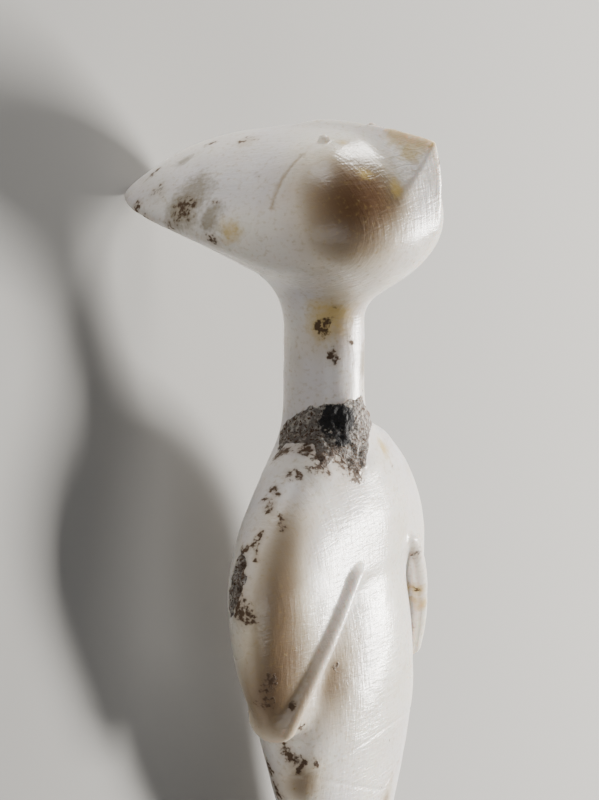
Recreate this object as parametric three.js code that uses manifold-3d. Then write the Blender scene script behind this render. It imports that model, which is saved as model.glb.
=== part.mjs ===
// A small marble idol of the Anatolian stargazer kind, lying on its back: a wide tilted-back head with a
// wedge nose, a round neck, a lens-shaped torso whose folded forearms stand up as ridges, and closed,
// tapering legs. It is carved from one block, so it is one solid. Millimetres, +Z up.
//
// The form is a "carving field": a function that is negative inside the stone, zero on its surface and
// positive outside. It is written for the upright figure, with x towards the figure's left, y towards its
// back and z up from the soles. The surface is then read off as triangles, and the figure is laid down.
import * as THREE from 'three';
import { mergeVertices } from 'three/addons/utils/BufferGeometryUtils.js';
import Module from 'manifold-3d';

// ---- driving dimensions, upright figure ----
const HEIGHT = 180;

const HEAD = {
  // the domed top: a quarter ellipsoid in front, a longer one running back to the crown
  dome: { y: -0.1, z: 151.5, halfWidth: 26.5, height: 27.2, front: 22.8, back: 43.1 },
  // the funnel-shaped underside that runs from the neck out to the crown and the chin
  under: { y: -4, z: 145.7, slope: 0.6, lean: 0.09, steep: 1.2, bow: { height: 0.6, at: 23.5, reach: 8.8 } },
  cheek: { x: 9.5, y: -4, z: 163.5, radius: 10.9, height: 13.5 },
  muzzle: { y: -4, z: 163.4, halfWidth: 13.6, depth: 15.5, height: 14 },
  rounding: { cheek: 4, muzzle: 4, throat: 8.6, crown: 1.4 },
  // the underside changes from throat to crown between these two depths: it bows, and its edge sharpens
  toCrown: { from: -6, to: 30 },
};
const NOSE = {
  tipY: -20.8, bridgeY: -2.5, topZ: 180, foot: 161,
  sag: 0.0072, fall: 0.03,       // how the ridge drops to the front, and how it sinks into the dome behind
  flank: THREE.MathUtils.degToRad(50),
  // the prow leans out down to its knee and back in below it, where it runs out on the chin
  prow: { back: 0.87, side: 0.5, down: 0.17, kneeY: -22.7, kneeZ: 168, under: 0.24 },
  rounding: { ridge: 1, prow: 0.7, knee: 2.5, foot: 3, root: 2.4 },
};
const NECK = {
  radius: 7, middle: 137, halfLength: 17, shoulderBlend: 5.8,
  // the fillet under the head is small at the throat and larger at the nape
  throatBlend: 3, napeBlend: 6.5, nape: { from: -3, to: 4 },
};
const TORSO = {
  y: -1.1, z: 100.5, halfWidth: 34.5, halfThickness: 11.4, up: 27, down: 46,
  squareness: 1.7,               // of the shoulder line
  thinning: 1.3, forward: 0.6,   // the elbows are thinner, and thinned from behind
};
const FOREARM = {
  elbowX: 27.4, elbowZ: 78, handX: 9.9, handZ: 104.3, bend: 1.3,
  ridge: { radius: 1.8, height: 1.2 },
  end: 76, backSlope: 0.1,
  overhang: { hand: 1.3, elbow: 0.5 },   // how far short of the hand, and past the elbow, the ridge runs
  frontBand: { from: 1, to: 2 },         // the depths between which the cut changes from back to front
  stopSteepness: 10,                     // how sharply the ridge stops behind the front
  // how deep the belly beside them is sunk into the leaf, and over what height that runs out at the hands
  recess: 2.2, fade: 10,
  rounding: { edge: 2, elbow: 5, ridge: 1.4 },
};
// Belly, hips and legs: height above the soles, half width, half thickness, y of the centre.
const TRUNK = [
  { z: 0, wide: 7.6, thick: 5.6, y: -2.8 },
  { z: 6, wide: 8.3, thick: 5.4, y: -2.2 },
  { z: 14, wide: 8.2, thick: 4.5, y: -1.2 },
  { z: 24, wide: 11.0, thick: 5.4, y: -1.4 },
  { z: 34, wide: 13.0, thick: 6.0, y: -2.0 },
  { z: 46, wide: 15.6, thick: 6.6, y: -2.7 },
  { z: 58, wide: 19.4, thick: 7.8, y: -3.3 },
  { z: 66, wide: 22.5, thick: 8.9, y: -3.2 },
  { z: 74, wide: 23.8, thick: 10.8, y: -2.5 },
  { z: 84, wide: 22.6, thick: 12.4, y: -1.5 },
  { z: 100, wide: 19.5, thick: 11.4, y: -1.0 },
  { z: 118, wide: 11.5, thick: 6.5, y: -1.0 },
];
const TRUNK_TOP = 117;
const TRUNK_EDGE = 2.5;          // rounding of the soles' edge
// The fillet where the trunk leaves the arms grows from the elbows up to the shoulders.
const SIDE_FILLET = { low: 102, high: 114, small: 0.8, large: 7.8 };
const LEG_GROOVE = { top: 57, halfWidth: 2.1, depth: 1.4, fade: 8 };

// ---- lying down ----
const REST_CUT = 0.4;            // depth of the flat spots on the heels and on the edge of the crown
const HEELS_BELOW = 0.2;         // the heels lie in this lowest part of the height
const CROWN_ABOVE = 0.8;

// ---- the mesh ----
const GRID = { x: 2.8, y: 2.8, z: 4 };
const GRID_LOW = { x: -40, y: -30, z: -9 };
const GRID_HIGH = { x: 40, y: 48, z: HEIGHT + 9 };
const CHORD_ERROR = 0.11;
const RELAX_ROUNDS = 6;
const REFINEMENTS = 3;
const SHORTEST_EDGE = 1.2;

// ---- small tools of the field ----
const clamp = (v, low, high) => Math.min(Math.max(v, low), high);
const square = (v) => v * v;

function smoothStep(v, from, to) {
  const t = clamp((v - from) / (to - from), 0, 1);
  return t * t * (3 - 2 * t);
}

// The union of two bodies, with a fillet about k wide where they meet.
function join(a, b, k) {
  const h = Math.max(k - Math.abs(a - b), 0) / k;
  return Math.min(a, b) - h * h * k / 4;
}

// What two bodies have in common, with its edge rounded over a width of k.
const common = (a, b, k) => -join(-a, -b, k);

// First-order distance to an ellipsoid with half axes a, b and c.
function ellipsoid(x, y, z, a, b, c) {
  const near = Math.hypot(x / a, y / b, z / c);
  const steep = Math.hypot(x / (a * a), y / (b * b), z / (c * c));
  return near * (near - 1) / Math.max(steep, 1e-6);
}

// A smooth curve through the trunk's sections.
function trunkAt(z, key) {
  const last = TRUNK.length - 1;
  const at = clamp(z, TRUNK[0].z, TRUNK[last].z);
  let i = 0;
  while (i < last - 1 && TRUNK[i + 1].z <= at) i += 1;
  const slope = (k) => {
    const below = TRUNK[Math.max(k - 1, 0)];
    const above = TRUNK[Math.min(k + 1, last)];
    return (above[key] - below[key]) / (above.z - below.z);
  };
  const span = TRUNK[i + 1].z - TRUNK[i].z;
  const t = (at - TRUNK[i].z) / span;
  const u = 1 - t;
  return TRUNK[i][key] * (1 + 2 * t) * u * u + slope(i) * span * t * u * u
    + TRUNK[i + 1][key] * t * t * (3 - 2 * t) - slope(i + 1) * span * t * t * u;
}

// ---- the carving ----
function head(x, y, z) {
  const { dome, under, cheek, muzzle, rounding } = HEAD;
  const side = Math.abs(x);
  const back = y - dome.y;
  const top = ellipsoid(x, back, z - dome.z, dome.halfWidth, back > 0 ? dome.back : dome.front, dome.height);
  const cheeks = ellipsoid(side - cheek.x, y - cheek.y, z - cheek.z, cheek.radius, cheek.radius, cheek.height);
  const chin = ellipsoid(x, y - muzzle.y, z - muzzle.z, muzzle.halfWidth, muzzle.depth, muzzle.height);
  const out = Math.hypot(x, y - under.y);
  const toCrown = smoothStep(y, HEAD.toCrown.from, HEAD.toCrown.to);
  const bow = under.bow.height * (1 - square((out - under.bow.at) / under.bow.reach)) * toCrown;
  const funnel = (under.z + under.slope * out - under.lean * (y - under.y) + bow - z) / under.steep;
  const above = join(join(top, cheeks, rounding.cheek), chin, rounding.muzzle);
  const edge = THREE.MathUtils.lerp(rounding.throat, rounding.crown, toCrown);
  return join(common(above, funnel, edge), nose(side, y, z), NOSE.rounding.root);
}

// A roof-shaped ridge that ends in a blunt, prow-like front.
function nose(side, y, z) {
  const along = y - NOSE.bridgeY;
  const ridge = NOSE.topZ - (along < 0 ? NOSE.sag : NOSE.fall) * along * along;
  const flank = side * Math.sin(NOSE.flank) + (z - ridge) * Math.cos(NOSE.flank);
  const { prow, rounding } = NOSE;
  const front = (NOSE.tipY - y) * prow.back + side * prow.side - (ridge - z) * prow.down;
  const below = (prow.kneeY - y) * prow.back + side * prow.side + (prow.kneeZ - z) * prow.under;
  const roof = common(flank, z - ridge, rounding.ridge);
  const blade = common(common(roof, front, rounding.prow), below, rounding.knee);
  return common(blade, NOSE.foot - z, rounding.foot);
}

function neck(x, y, z) {
  return Math.max(Math.hypot(x, y) - NECK.radius, Math.abs(z - NECK.middle) - NECK.halfLength);
}

// Shoulders and arms as one leaf-shaped body, before the forearms are cut free.
function leaf(x, y, z) {
  const rise = Math.max(z - TORSO.z, 0) / TORSO.up;
  const drop = Math.max(TORSO.z - z, 0) / TORSO.down;
  const t = Math.min(rise, 0.97);
  const shoulder = Math.pow(1 - Math.pow(t, TORSO.squareness), 1 / TORSO.squareness) / Math.sqrt(1 - t * t);
  const narrow = Math.sqrt(Math.max(1 - drop * drop, 0.02)) * shoulder;
  const thin = Math.max(1 - TORSO.thinning * drop * drop, 0.2);
  const centre = TORSO.y - TORSO.forward * TORSO.halfThickness * (1 - thin);
  return ellipsoid(x / narrow, (y - centre) / thin, rise * TORSO.up,
    TORSO.halfWidth, TORSO.halfThickness, TORSO.up);
}

// The leaf, cut off under the elbows and along the curved line of each forearm, which carries a ridge.
function arms(x, y, z) {
  const side = Math.abs(x);
  const body = leaf(x, y, z);
  const span = FOREARM.handZ - FOREARM.elbowZ;
  const t = Math.max(z - FOREARM.elbowZ, 0) / span;
  const reach = FOREARM.elbowX - FOREARM.handX;
  const line = FOREARM.elbowX - reach * Math.pow(t, FOREARM.bend);
  const slope = -reach * FOREARM.bend * Math.pow(t, FOREARM.bend - 1) / span;
  const beside = (side - line) / Math.hypot(1, slope);
  const { rounding, overhang, frontBand } = FOREARM;
  const cutFront = common(-beside, FOREARM.end - z, rounding.elbow);
  const cutBack = FOREARM.end + FOREARM.backSlope * (FOREARM.elbowX - side) - z;
  const front = smoothStep(-y, -frontBand.from, frontBand.to);
  const cut = cutFront * front + cutBack * (1 - front);
  const { radius, height } = FOREARM.ridge;
  const past = Math.max(z - FOREARM.handZ + overhang.hand, 0) + Math.max(FOREARM.elbowZ + overhang.elbow - z, 0);
  const notBehind = FOREARM.stopSteepness * Math.max(y - frontBand.from, 0);
  const ridge = Math.hypot(beside - radius, body + radius - height, past) - radius + notBehind;
  const depth = FOREARM.recess * smoothStep(FOREARM.handZ - z, 0, FOREARM.fade);
  const sunk = common(body + depth, FOREARM.end - z, rounding.elbow);
  return join(Math.min(common(body, cut, rounding.edge), sunk), ridge, rounding.ridge);
}

// Belly, hips and closed legs, with a groove between the legs in front and behind.
function trunk(x, y, z) {
  const across = (y - trunkAt(z, 'y')) / trunkAt(z, 'thick');
  const wide = trunkAt(z, 'wide');
  const thick = trunkAt(z, 'thick');
  const body = ellipsoid(x, across * thick, 0, wide, thick, wide);
  const fade = smoothStep(LEG_GROOVE.top - z, 0, LEG_GROOVE.fade);
  const groove = LEG_GROOVE.depth * fade * Math.exp(-square(x / LEG_GROOVE.halfWidth)) * Math.min(across ** 2, 1);
  return common(body + groove, Math.max(z - TRUNK_TOP, -z), TRUNK_EDGE);
}

function figure(x, y, z) {
  const { low, high, small, large } = SIDE_FILLET;
  const blend = THREE.MathUtils.lerp(small, large, smoothStep(z, low, high));
  const body = join(join(arms(x, y, z), trunk(x, y, z), blend), neck(x, y, z), NECK.shoulderBlend);
  const { throatBlend, napeBlend, nape } = NECK;
  const headBlend = THREE.MathUtils.lerp(throatBlend, napeBlend, smoothStep(y, nape.from, nape.to));
  return join(body, head(x, y, z), headBlend);
}

function slopeAt(p) {
  const h = 0.002;
  return new THREE.Vector3(
    figure(p.x + h, p.y, p.z) - figure(p.x - h, p.y, p.z),
    figure(p.x, p.y + h, p.z) - figure(p.x, p.y - h, p.z),
    figure(p.x, p.y, p.z + h) - figure(p.x, p.y, p.z - h),
  ).divideScalar(2 * h);
}

// Moves a point onto the surface by a few Newton steps down the field.
function settle(p) {
  for (let step = 0; step < 6; step += 1) {
    const value = figure(p.x, p.y, p.z);
    if (Math.abs(value) < 1e-4) break;
    const slope = slopeAt(p);
    p.addScaledVector(slope, -clamp(value, -1, 1) / Math.max(slope.lengthSq(), 0.05));
  }
  return p;
}

// ---- reading the surface off as triangles ----
// A surface net: one corner in every grid cell that the surface passes through, and one quad across every
// grid edge that it cuts.
function surfaceNet() {
  const low = [GRID_LOW.x, GRID_LOW.y, GRID_LOW.z];
  const high = [GRID_HIGH.x, GRID_HIGH.y, GRID_HIGH.z];
  const step = [GRID.x, GRID.y, GRID.z];
  const count = low.map((v, k) => Math.ceil((high[k] - v) / step[k]) + 1);
  // the grid is centred on the figure's middle plane, so that both halves come out alike
  low[0] = -(count[0] - 1) / 2 * step[0];
  const at = (i, j, k) => (k * count[1] + j) * count[0] + i;
  const value = new Float64Array(count[0] * count[1] * count[2]);
  for (let k = 0; k < count[2]; k += 1) {
    for (let j = 0; j < count[1]; j += 1) {
      for (let i = 0; i < count[0]; i += 1) {
        value[at(i, j, k)] = figure(low[0] + i * step[0], low[1] + j * step[1], low[2] + k * step[2]);
      }
    }
  }
  const cornerOf = new Map();
  const corners = [];
  const cellCorner = (i, j, k) => {
    const key = at(i, j, k);
    if (!cornerOf.has(key)) {
      const sum = new THREE.Vector3();
      let cuts = 0;
      const tryEdge = (a, b) => {
        const va = value[at(i + a[0], j + a[1], k + a[2])];
        const vb = value[at(i + b[0], j + b[1], k + b[2])];
        if ((va < 0) === (vb < 0)) return;
        const t = va / (va - vb);
        sum.add(new THREE.Vector3(...a.map((v, n) => v + t * (b[n] - v))));
        cuts += 1;
      };
      for (const u of [0, 1]) {
        for (const v of [0, 1]) {
          tryEdge([0, u, v], [1, u, v]);
          tryEdge([u, 0, v], [u, 1, v]);
          tryEdge([u, v, 0], [u, v, 1]);
        }
      }
      sum.divideScalar(cuts);
      const p = new THREE.Vector3(
        low[0] + (i + sum.x) * step[0], low[1] + (j + sum.y) * step[1], low[2] + (k + sum.z) * step[2],
      );
      cornerOf.set(key, corners.push(settle(p)) - 1);
    }
    return cornerOf.get(key);
  };
  const faces = [];
  // the four cells round a grid edge, in order about it, for an edge along x, y or z
  const round = [
    [[0, -1, -1], [0, 0, -1], [0, 0, 0], [0, -1, 0]],
    [[-1, 0, -1], [-1, 0, 0], [0, 0, 0], [0, 0, -1]],
    [[-1, -1, 0], [0, -1, 0], [0, 0, 0], [-1, 0, 0]],
  ];
  for (let k = 1; k < count[2] - 1; k += 1) {
    for (let j = 1; j < count[1] - 1; j += 1) {
      for (let i = 1; i < count[0] - 1; i += 1) {
        const here = value[at(i, j, k)] < 0;
        [at(i + 1, j, k), at(i, j + 1, k), at(i, j, k + 1)].forEach((next, axis) => {
          if ((value[next] < 0) === here) return;
          const quad = round[axis].map(([a, b, c]) => cellCorner(i + a, j + b, k + c));
          if (!here) quad.reverse();
          const [a, b, c, d] = quad;
          const short = corners[a].distanceTo(corners[c]) < corners[b].distanceTo(corners[d]);
          faces.push(...(short ? [[a, b, c], [a, c, d]] : [[a, b, d], [b, c, d]]));
        });
      }
    }
  }
  return { corners, faces };
}

// Evens the corners out: each goes to the middle of its neighbours, and back onto the surface.
function relax({ corners, faces }, rounds) {
  for (let n = 0; n < rounds; n += 1) {
    const sum = corners.map(() => new THREE.Vector3());
    const neighbours = corners.map(() => 0);
    for (const face of faces) {
      face.forEach((corner, side) => {
        sum[corner].add(corners[face[(side + 1) % 3]]);
        neighbours[corner] += 1;
      });
    }
    corners.forEach((p, i) => settle(p.lerp(sum[i].divideScalar(neighbours[i]), 0.5)));
  }
}

// Splits every edge whose middle lies off the surface by more than the chord error.
function refine({ corners, faces }) {
  const middleOf = new Map();
  const middle = (a, b) => {
    const key = a < b ? a * 1e6 + b : b * 1e6 + a;
    if (!middleOf.has(key)) {
      const flat = corners[a].clone().lerp(corners[b], 0.5);
      const onto = settle(flat.clone());
      const split = flat.distanceTo(onto) > CHORD_ERROR && corners[a].distanceTo(corners[b]) > SHORTEST_EDGE;
      middleOf.set(key, split ? corners.push(onto) - 1 : -1);
    }
    return middleOf.get(key);
  };
  const cut = [];
  for (const face of faces) {
    const mids = face.map((corner, side) => middle(corner, face[(side + 1) % 3]));
    const splits = mids.filter((m) => m >= 0).length;
    // turn the face so that its split edges come first, or its unsplit edge last
    let turn = 0;
    if (splits === 1) turn = mids.findIndex((m) => m >= 0);
    if (splits === 2) turn = (mids.findIndex((m) => m < 0) + 1) % 3;
    const [a, b, c] = [0, 1, 2].map((k) => face[(turn + k) % 3]);
    const [ab, bc, ca] = [0, 1, 2].map((k) => mids[(turn + k) % 3]);
    if (splits === 0) cut.push([a, b, c]);
    if (splits === 1) cut.push([a, ab, c], [ab, b, c]);
    if (splits === 2) cut.push([ab, b, bc], [a, ab, bc], [a, bc, c]);
    if (splits === 3) cut.push([a, ab, ca], [ab, b, bc], [ca, bc, c], [ab, bc, ca]);
  }
  return { corners, faces: cut };
}

function carve() {
  let mesh = surfaceNet();
  relax(mesh, RELAX_ROUNDS);
  for (let n = 0; n < REFINEMENTS; n += 1) mesh = refine(mesh);
  return mesh;
}

// ---- laying the figure down ----
// Turns the upright points so that the figure lies on its back, head towards +Y and face up, with its heels
// and the edge of its crown just under the ground, ready for their flat spots.
function layDown(corners) {
  const toBack = new THREE.Matrix4().makeRotationX(-Math.PI / 2);
  const points = corners.map((p) => p.clone().applyMatrix4(toBack));
  const lowest = (group) => group.reduce((best, p) => (p.z < best.z ? p : best));
  const axis = new THREE.Vector3(1, 0, 0);
  for (let n = 0; n < 8; n += 1) {
    const heel = lowest(points.filter((p, i) => corners[i].z < HEIGHT * HEELS_BELOW));
    const crown = lowest(points.filter((p, i) => corners[i].z > HEIGHT * CROWN_ABOVE));
    const tilt = Math.atan2(heel.z - crown.z, crown.y - heel.y);
    points.forEach((p) => p.applyAxisAngle(axis, tilt));
  }
  const box = new THREE.Box3().setFromPoints(points);
  const shift = new THREE.Vector3(0, -(box.min.y + box.max.y) / 2, -box.min.z - REST_CUT);
  return points.map((p) => p.add(shift));
}

const wasm = await Module();
wasm.setup();

function solid(positions, indices) {
  return new wasm.Manifold(new wasm.Mesh({
    numProp: 3,
    vertProperties: Float32Array.from(positions),
    triVerts: Uint32Array.from(indices),
  }));
}

// The ground, as a block whose top is at z = 0.
function ground() {
  const depth = 10;
  const block = new THREE.BoxGeometry(2 * HEIGHT, 2 * HEIGHT, depth).translate(0, 0, -depth / 2);
  block.deleteAttribute('normal');
  block.deleteAttribute('uv');
  const closed = mergeVertices(block);
  return solid(closed.attributes.position.array, closed.index.array);
}

function geometryOf(body) {
  const { numProp, vertProperties, triVerts } = body.getMesh();
  const positions = [];
  for (let i = 0; i < vertProperties.length; i += numProp) positions.push(...vertProperties.slice(i, i + 3));
  const geometry = new THREE.BufferGeometry();
  geometry.setAttribute('position', new THREE.Float32BufferAttribute(positions, 3));
  geometry.setIndex(Array.from(triVerts));
  geometry.computeVertexNormals();
  return geometry;
}

const { corners, faces } = carve();
const lying = layDown(corners);
const stone = solid(lying.flatMap((p) => p.toArray()), faces.flat()).subtract(ground());

const marble = new THREE.MeshStandardMaterial({ color: 0xe4ddd3, roughness: 0.45, metalness: 0 });
const figurine = new THREE.Mesh(geometryOf(stone), marble);
figurine.name = 'figurine';

const idol = new THREE.Group();
idol.add(figurine);

export default idol;
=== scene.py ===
"""Looks of a marble stargazer figurine lying on its back on a pale floor.

The stone is carved again from the same field as the CAD solid, finely, and then given what the solid is too
coarse for: incised lines, pellet eyes, ear lines, a chipped edge and a crust of burial dirt. The field is
written for the upright figure in millimetres: x to the figure's left, y to its back, z up from the soles.
"""
import math

import bpy
import numpy as np
from mathutils import Matrix, Vector


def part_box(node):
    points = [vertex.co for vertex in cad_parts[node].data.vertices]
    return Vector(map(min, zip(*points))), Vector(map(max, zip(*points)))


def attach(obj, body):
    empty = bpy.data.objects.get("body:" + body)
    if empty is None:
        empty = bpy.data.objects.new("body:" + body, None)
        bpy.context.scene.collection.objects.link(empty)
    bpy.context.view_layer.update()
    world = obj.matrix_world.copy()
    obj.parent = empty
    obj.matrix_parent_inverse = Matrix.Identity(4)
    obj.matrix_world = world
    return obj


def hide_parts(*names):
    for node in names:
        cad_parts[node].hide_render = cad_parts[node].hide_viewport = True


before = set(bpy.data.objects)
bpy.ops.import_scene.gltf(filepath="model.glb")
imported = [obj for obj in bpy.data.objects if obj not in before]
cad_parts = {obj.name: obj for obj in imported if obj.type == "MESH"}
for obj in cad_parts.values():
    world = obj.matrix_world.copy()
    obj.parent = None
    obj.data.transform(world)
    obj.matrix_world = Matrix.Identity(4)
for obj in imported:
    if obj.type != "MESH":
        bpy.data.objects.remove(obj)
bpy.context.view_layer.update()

SEED = 11
MM = 0.001

# ---- how the upright figure lies in the row's frame ----
LEAN = math.radians(11.875)              # between the figure's spine and the floor
SOLES = (0.0, -87.54, 1.50)             # where the middle of the soles comes to lie, mm

# ---- the carving's dimensions, as in the CAD solid ----
HEIGHT = 180
DOME = dict(y=-0.1, z=151.5, half_width=26.5, height=27.2, front=22.8, back=43.1)
UNDER = dict(y=-4, z=145.7, slope=0.6, lean=0.09, steep=1.2, bow=0.6, bow_at=23.5, bow_reach=8.8)
TO_CROWN = (-6, 30)                     # the depths between which the underside changes from throat to crown
CHEEK = dict(x=9.5, y=-4, z=163.5, radius=10.9, height=13.5)
MUZZLE = dict(y=-4, z=163.4, half_width=13.6, depth=15.5, height=14.0)
HEAD_ROUNDING = dict(cheek=4, muzzle=4, throat=8.6, crown=1.4)
NOSE = dict(tip_y=-20.8, bridge_y=-2.5, top_z=180, foot=161, sag=0.0072, fall=0.03, flank=math.radians(50))
PROW = dict(back=0.87, side=0.5, down=0.17, knee_y=-22.7, knee_z=168, under=0.24)
NOSE_ROUNDING = dict(ridge=0.7, prow=0.5, knee=2.5, foot=3, root=2.2)
NECK = dict(radius=7, middle=137, half_length=17, shoulder_blend=5.8, head_blend=3, nape_blend=6.5)
NAPE = (-3, 4)                          # the depths between which the neck's fillet grows from throat to nape
TORSO = dict(y=-1.1, z=100.5, half_width=34.5, half_thickness=11.4, up=27, down=46,
             squareness=1.7, thinning=1.3, forward=0.6, tip=0.97, least_width=0.02, least_thickness=0.2)
# between trunk and arms: sharp at the elbows, soft at the shoulders
SIDE_FILLET = dict(low=102, high=114, small=0.8, large=7.8)
FOREARM = dict(elbow_x=27.4, elbow_z=78, hand_x=9.9, hand_z=104.3, bend=1.3, end=76, back_slope=0.1,
               recess=2.2, recess_start=0.5, fade=10, edge=1.0, elbow=5, front=(-1, 2))
RIDGE = dict(radius=1.6, height=1.3, blend=0.8, hand_end=1.3, elbow_end=0.5, back=1, stop=10)
# height above the soles, half width, half thickness, y of the centre
TRUNK = np.array([
    (0, 7.6, 5.6, -2.8), (6, 8.3, 5.4, -2.2), (14, 8.2, 4.5, -1.2), (24, 11.0, 5.4, -1.4),
    (34, 13.0, 6.0, -2.0), (46, 15.6, 6.6, -2.7), (58, 19.4, 7.8, -3.3), (66, 22.5, 8.9, -3.2),
    (74, 23.8, 10.8, -2.5), (84, 22.6, 12.4, -1.5), (100, 19.5, 11.4, -1.0), (118, 11.5, 6.5, -1.0),
])
TRUNK_TOP = 117
TRUNK_EDGE = 2.5
LEG_GROOVE = dict(top=57, half_width=2.1, depth=1.4, fade=8)

# ---- finer relief, mm ----
# the left eye is set further round than the right, so that the head's outline hides it in the picture
EYES = [(-8.9, -3.9, 178.1), (12.8, -3.6, 177.0)]
EYE = dict(radius=1.0, height=1.0, ring_depth=0.12, ring_width=0.35, ring_gap=0.3)
EAR = [(21.4, 0.3, 167.9), (20.0, 0.2, 170.1), (18.7, -0.1, 171.9), (17.2, -0.8, 173.6), (15.8, -1.4, 175.0),
       (14.2, -2.2, 176.2)]
WAIST = dict(z=72.6, drop=3.2, reach=21)          # highest in front, lower at the hips
GROIN = dict(z=60.0, slope=0.39)                  # a V whose sides rise to the hips
LEG_LINE_FADE = 2
LINE = dict(depth=0.11, half_width=0.26, waist_drift=0.25, groin_drift=0.2, drift_size=9.0)
EAR_LINE = dict(depth=0.12, half_width=0.5)
CHIP = dict(centre=(-31.9, 3.2, 105.3), reach=(4.0, 3.0, 7.2), depth=0.5, ragged=0.22, ragged_size=2.2,
            edge=(-1.08, -0.8), rough=0.55, rough_size=1.3)
CRUST = dict(ragged=0.6, ragged_size=2.6, edge=(-0.5, 0.8), lump=0.35, lump_size=1.1, thickness=0.35)
# how far the crust reaches down and up: degrees round the neck from the front to the figure's left, heights
CRUST_LOW = [(-150, 125.5), (-128, 124.0), (-110, 122.9), (-97, 124.4), (-75, 125.0), (-67, 121.8),
             (-54, 123.0), (-43, 120.4), (-36, 119.2), (-26, 119.8), (-14, 121.8), (0, 123.9), (24, 125.0),
             (70, 126.0)]
CRUST_HIGH = [(-150, 124.5), (-130, 126.3), (-110, 128.6), (-90, 130.4), (-60, 131.5), (0, 131.6),
              (27, 129.3), (50, 126.5), (70, 125.4)]
UNEVEN = [(0.16, 11.0), (0.04, 3.0)]              # hand-carved unevenness: height, size of its waves
FRONT = (-1.5, 2.5)                               # where the carved lines fade out towards the back

# ---- the mesh, mm ----
NET_STEP = 0.95
NET_ROOM = ((-40, 40), (-30, 48), (-6, HEIGHT + 6))
PINCH_ROUNDS = 4
FILL_DEPTH = 0.02
RELAX_ROUNDS = 3
FINE_ROUNDS = 2
PLAIN_EDGE = 2.2
FINE_EDGE = 0.63
FINEST_EDGE = 0.3
FINE_NEAR = dict(line=1.1, leg_line=0.9, ear=1.3, front=2.5, arm_ends=2, ridge=(-1.6, 4.2),
                 nose_front=-8, nose_half_width=5.5, nose_foot=2)
FINEST_NEAR = dict(eye=1.8, waist=0.8)
LONGEST_STEP = 0.8                      # of a corner on its way onto the surface
LEAST_SLOPE = 0.05
PLACE_STEPS = 8                         # for a place that is only roughly on the surface


# ---- small tools of the field ----
def smooth_step(v, start, end):
    t = np.clip((v - start) / (end - start), 0, 1)
    return t * t * (3 - 2 * t)


def join(a, b, k):
    """The union of two bodies, with a fillet about k wide where they meet."""
    h = np.maximum(k - np.abs(a - b), 0) / k
    return np.minimum(a, b) - h * h * k / 4


def common(a, b, k):
    """What two bodies have in common, with its edge rounded over a width of k."""
    return -join(-a, -b, k)


def ellipsoid(x, y, z, a, b, c):
    """First-order distance to an ellipsoid with half axes a, b and c."""
    near = np.sqrt((x / a) ** 2 + (y / b) ** 2 + (z / c) ** 2)
    steep = np.sqrt((x / a ** 2) ** 2 + (y / b ** 2) ** 2 + (z / c ** 2) ** 2)
    return near * (near - 1) / np.maximum(steep, 1e-6)


def trunk_at(z):
    """Half width, half thickness and y of the trunk at a height: a smooth curve through its sections."""
    heights, values = TRUNK[:, 0], TRUNK[:, 1:]
    slope = np.gradient(values, heights, axis=0)
    slope[1:-1] = (values[2:] - values[:-2]) / (heights[2:] - heights[:-2])[:, None]
    at = np.clip(z, heights[0], heights[-1])
    i = np.clip(np.searchsorted(heights, at, side="right") - 1, 0, len(heights) - 2)
    span = (heights[i + 1] - heights[i])[:, None]
    t = ((at - heights[i]) / span[:, 0])[:, None]
    u = 1 - t
    curve = (values[i] * (1 + 2 * t) * u * u + slope[i] * span * t * u * u
             + values[i + 1] * t * t * (3 - 2 * t) - slope[i + 1] * span * t * t * u)
    return curve.T


# ---- the carving ----
def nose(side, y, z):
    along = y - NOSE["bridge_y"]
    ridge = NOSE["top_z"] - np.where(along < 0, NOSE["sag"], NOSE["fall"]) * along ** 2
    flank = side * math.sin(NOSE["flank"]) + (z - ridge) * math.cos(NOSE["flank"])
    front = (NOSE["tip_y"] - y) * PROW["back"] + side * PROW["side"] - (ridge - z) * PROW["down"]
    below = (PROW["knee_y"] - y) * PROW["back"] + side * PROW["side"] + (PROW["knee_z"] - z) * PROW["under"]
    roof = common(flank, z - ridge, NOSE_ROUNDING["ridge"])
    prow = common(common(roof, front, NOSE_ROUNDING["prow"]), below, NOSE_ROUNDING["knee"])
    return common(prow, NOSE["foot"] - z, NOSE_ROUNDING["foot"])


def head(x, y, z):
    side = np.abs(x)
    back = y - DOME["y"]
    depth = np.where(back > 0, DOME["back"], DOME["front"])
    top = ellipsoid(x, back, z - DOME["z"], DOME["half_width"], depth, DOME["height"])
    cheeks = ellipsoid(side - CHEEK["x"], y - CHEEK["y"], z - CHEEK["z"],
                       CHEEK["radius"], CHEEK["radius"], CHEEK["height"])
    chin = ellipsoid(x, y - MUZZLE["y"], z - MUZZLE["z"],
                     MUZZLE["half_width"], MUZZLE["depth"], MUZZLE["height"])
    out = np.hypot(x, y - UNDER["y"])
    to_crown = smooth_step(y, *TO_CROWN)
    bow = UNDER["bow"] * (1 - ((out - UNDER["bow_at"]) / UNDER["bow_reach"]) ** 2) * to_crown
    funnel = (UNDER["z"] + UNDER["slope"] * out - UNDER["lean"] * (y - UNDER["y"]) + bow - z) / UNDER["steep"]
    above = join(join(top, cheeks, HEAD_ROUNDING["cheek"]), chin, HEAD_ROUNDING["muzzle"])
    throat, crown = HEAD_ROUNDING["throat"], HEAD_ROUNDING["crown"]
    edge = throat + (crown - throat) * to_crown
    return join(common(above, funnel, edge), nose(side, y, z), NOSE_ROUNDING["root"])


def neck(x, y, z):
    return np.maximum(np.hypot(x, y) - NECK["radius"], np.abs(z - NECK["middle"]) - NECK["half_length"])


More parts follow.
